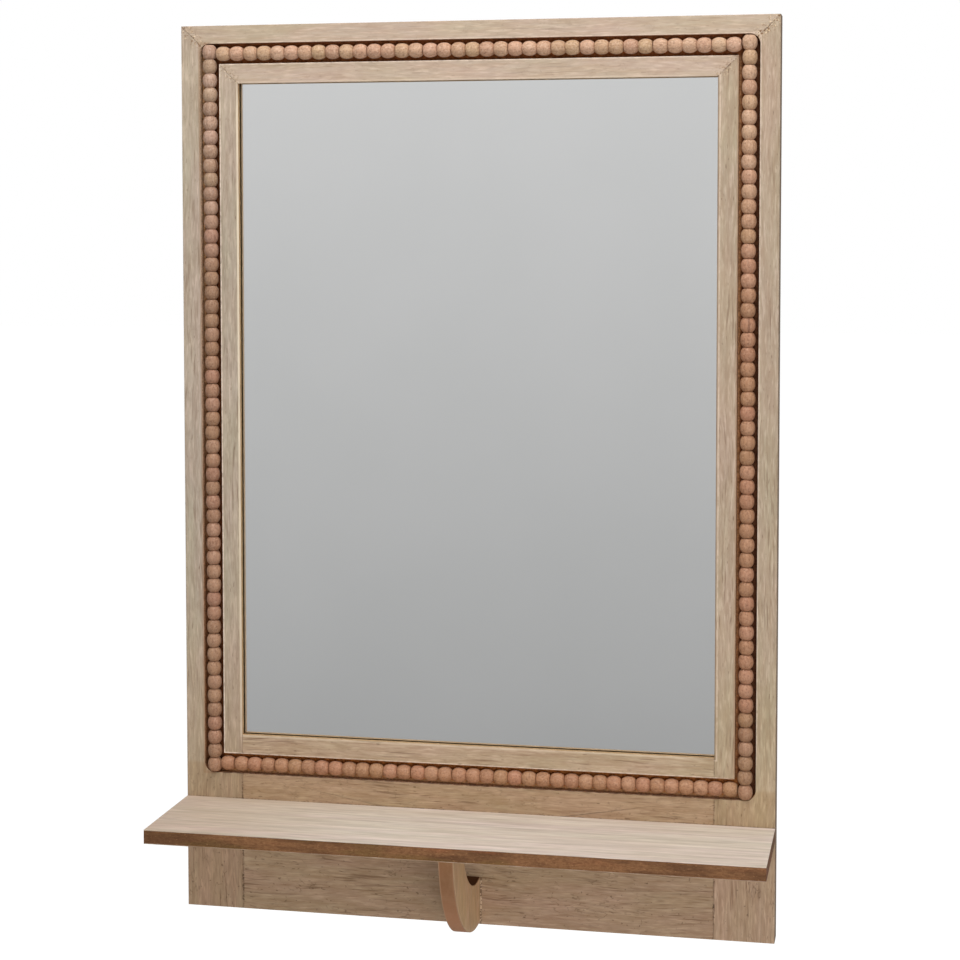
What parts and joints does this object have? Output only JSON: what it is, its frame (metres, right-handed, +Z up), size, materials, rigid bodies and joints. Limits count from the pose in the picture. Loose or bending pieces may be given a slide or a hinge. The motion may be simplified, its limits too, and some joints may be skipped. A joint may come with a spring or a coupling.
{
  "type": "wall mirror with shelf",
  "caption": "Wall-hung mirror in a veneered frame with beads let into a routed groove, and a narrow veneered shelf on an arched bracket.",
  "frame": {"origin": "on the wall plane, under the middle of the frame's bottom edge", "axes": "+Z up along the frame's height, +Y into the wall, so the room, the mirror's face and the shelf are on the -Y side; X across the frame"},
  "size_m": [0.5, 0.125, 0.75],
  "materials": {
    "bead_wood": "plain turned wood, matt",
    "string": "waxed cotton twine",
    "mirror": "silvered glass",
    "hardboard": "plain brown hardboard",
    "board_core": "brown fibreboard, waxed where it shows",
    "veneer": "whitewashed veneer, matt",
    "dowel_wood": "plain beech",
    "zinc_steel": "zinc plated",
    "brass_screw": "yellow zinc plated"
  },
  "bodies": {
    "root": {"left_stile": "board_core", "right_stile": "board_core", "top_rail": "board_core", "bottom_rail": "board_core", "left_stile_veneer": "veneer", "right_stile_veneer": "veneer", "top_rail_veneer": "veneer", "bottom_rail_veneer": "veneer", "rail_dowels": "dowel_wood", "mitre_nails": "zinc_steel", "beads_left": "bead_wood", "beads_right": "bead_wood", "beads_top": "bead_wood", "beads_bottom": "bead_wood", "string_left": "string", "string_right": "string", "string_top": "string", "string_bottom": "string", "mirror_glass": "mirror", "back_panel": "hardboard", "glazing_points": "zinc_steel", "shelf_core": "board_core", "shelf_top_veneer": "veneer", "shelf_bottom_veneer": "veneer", "shelf_screws": "brass_screw", "bracket_core": "board_core", "bracket_left_veneer": "veneer", "bracket_right_veneer": "veneer", "bracket_screws": "brass_screw", "bracket_dowels": "dowel_wood", "left_hanger_plate": "zinc_steel", "right_hanger_plate": "zinc_steel", "hanger_screws": "zinc_steel"}
  },
  "joints": []
}
